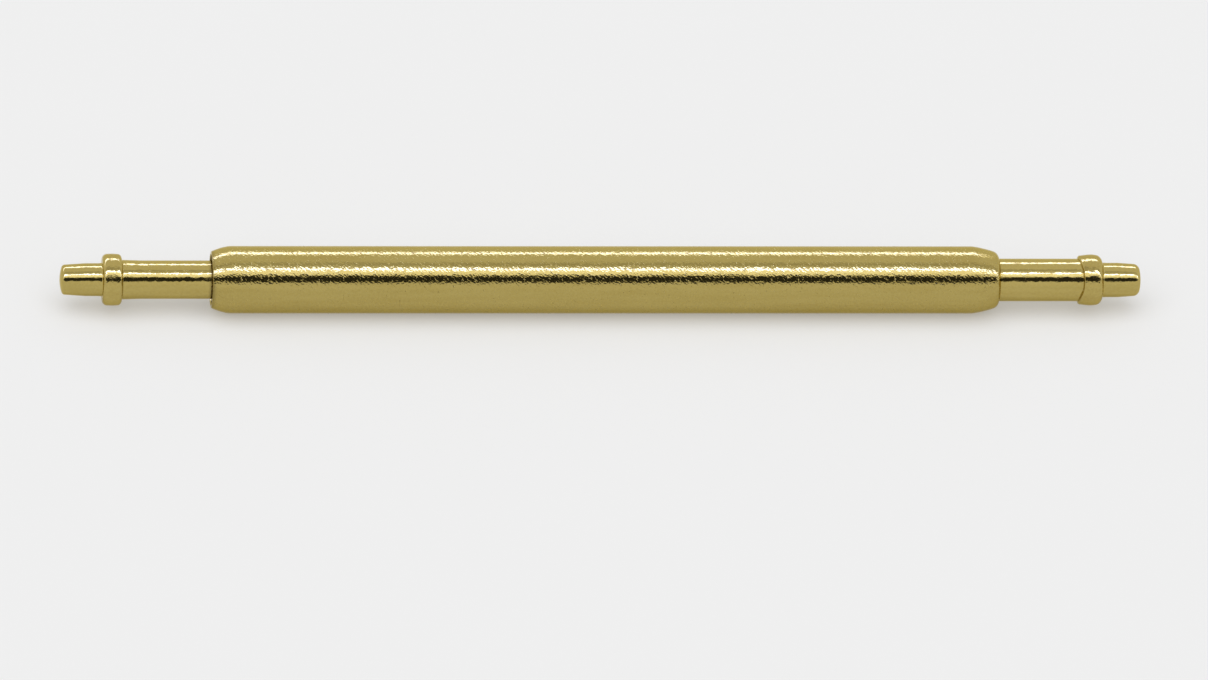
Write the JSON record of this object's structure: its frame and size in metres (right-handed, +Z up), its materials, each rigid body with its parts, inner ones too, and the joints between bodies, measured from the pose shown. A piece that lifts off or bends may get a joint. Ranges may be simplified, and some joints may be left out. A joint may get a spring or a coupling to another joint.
{
  "type": "spring bar",
  "caption": "Double-ended spring bar for a watch strap: a gold-coloured tube with sprung, shouldered tips that snap into the lug holes.",
  "frame": {"origin": "on the bar's axis, at the middle of the tube's length", "axes": "+X along the bar, out through the right tip; +Z up; +Y completes a right-handed frame. The bar is round, so Y and Z are alike"},
  "size_m": [0.0242, 0.0014, 0.0016],
  "materials": {
    "gold_plate": "gold-coloured plating over steel, drawn and turned with fine marks",
    "spring_wire": "bright drawn spring wire"
  },
  "bodies": {
    "barrel": {"barrel": "gold_plate", "spring": "spring_wire"},
    "left_plunger": {"left_plunger": "gold_plate"},
    "right_plunger": {"right_plunger": "gold_plate"}
  },
  "joints": [
    {"name": "left_slide", "type": "slide", "parent": "barrel", "child": "left_plunger", "axis": [1, 0, 0], "range_m": [0, 0.0019], "stiffness_N_per_m": 310, "deforming": ["spring"]},
    {"name": "right_slide", "type": "slide", "parent": "barrel", "child": "right_plunger", "axis": [-1, 0, 0], "range_m": [0, 0.00175], "stiffness_N_per_m": 310, "deforming": ["spring"]}
  ]
}
